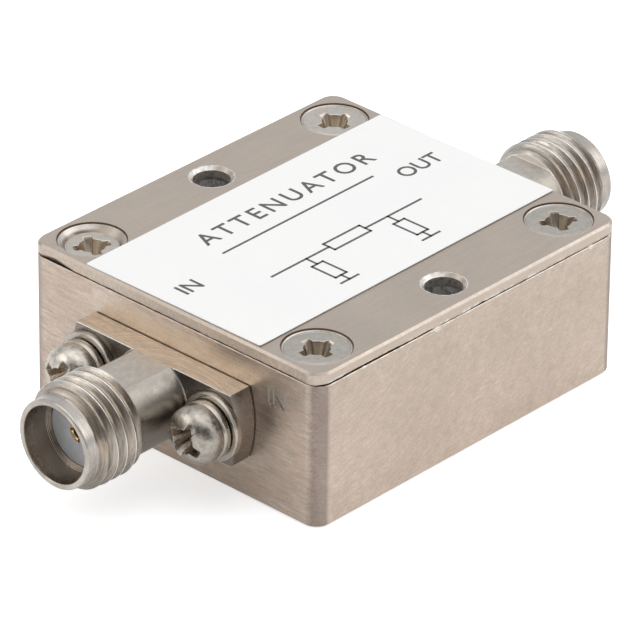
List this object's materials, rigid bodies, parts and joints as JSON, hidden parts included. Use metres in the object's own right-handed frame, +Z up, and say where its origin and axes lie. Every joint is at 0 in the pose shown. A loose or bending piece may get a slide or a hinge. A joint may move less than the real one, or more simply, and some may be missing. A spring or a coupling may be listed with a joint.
{
  "type": "coaxial attenuator",
  "caption": "Small rectangular coaxial attenuator module with a screwed cover, through mounting holes and a threaded, flange-mounted female port at each end.",
  "frame": {"origin": "centre of the base face, where the housing rests on the panel it is screwed to", "axes": "+X along the signal path from the input port to the output port, +Z up from the base through the labelled cover, +Y to the left seen along +X"},
  "size_m": [0.0434, 0.0222, 0.0099],
  "materials": {
    "plated_housing": "milled and plated, warm grey, with fine tool streaks",
    "plated_cover": "smooth plated sheet, warm grey satin",
    "label_film": "white printed polyester film",
    "jack_steel": "turned and passivated stainless steel",
    "jack_dielectric": "machined fluoropolymer, pale bluish grey in the port's shade",
    "contact_gold": "gold-plated spring contact",
    "screw_nickel": "bright nickel-plated screws",
    "washer_steel": "plated washers",
    "board_laminate": "ceramic-filled microwave laminate",
    "gold_foil": "gold-plated copper foil",
    "solder": "bright tin solder",
    "chip_ceramic": "film resistor chip with metal ends"
  },
  "bodies": {
    "root": {"housing": "plated_housing", "cover": "plated_cover", "label": "label_film", "cover_screw_in_left": "screw_nickel", "cover_screw_in_right": "screw_nickel", "cover_screw_out_left": "screw_nickel", "cover_screw_out_right": "screw_nickel", "in_jack_shell": "jack_steel", "in_dielectric": "jack_dielectric", "in_contact": "contact_gold", "out_jack_shell": "jack_steel", "out_dielectric": "jack_dielectric", "out_contact": "contact_gold", "flat_washer_in_left": "washer_steel", "flat_washer_in_right": "washer_steel", "flat_washer_out_left": "washer_steel", "flat_washer_out_right": "washer_steel", "lock_washer_in_left": "washer_steel", "lock_washer_in_right": "washer_steel", "lock_washer_out_left": "washer_steel", "lock_washer_out_right": "washer_steel", "flange_screw_in_left": "screw_nickel", "flange_screw_in_right": "screw_nickel", "flange_screw_out_left": "screw_nickel", "flange_screw_out_right": "screw_nickel", "circuit_board": "board_laminate", "input_strip": "gold_foil", "output_strip": "gold_foil", "input_ground_pad": "gold_foil", "output_ground_pad": "gold_foil", "input_solder": "solder", "output_solder": "solder", "input_shunt_resistor": "chip_ceramic", "output_shunt_resistor": "chip_ceramic", "series_resistor": "chip_ceramic", "board_screw_in_left": "screw_nickel", "board_screw_in_right": "screw_nickel", "board_screw_out_left": "screw_nickel", "board_screw_out_right": "screw_nickel"}
  },
  "joints": []
}
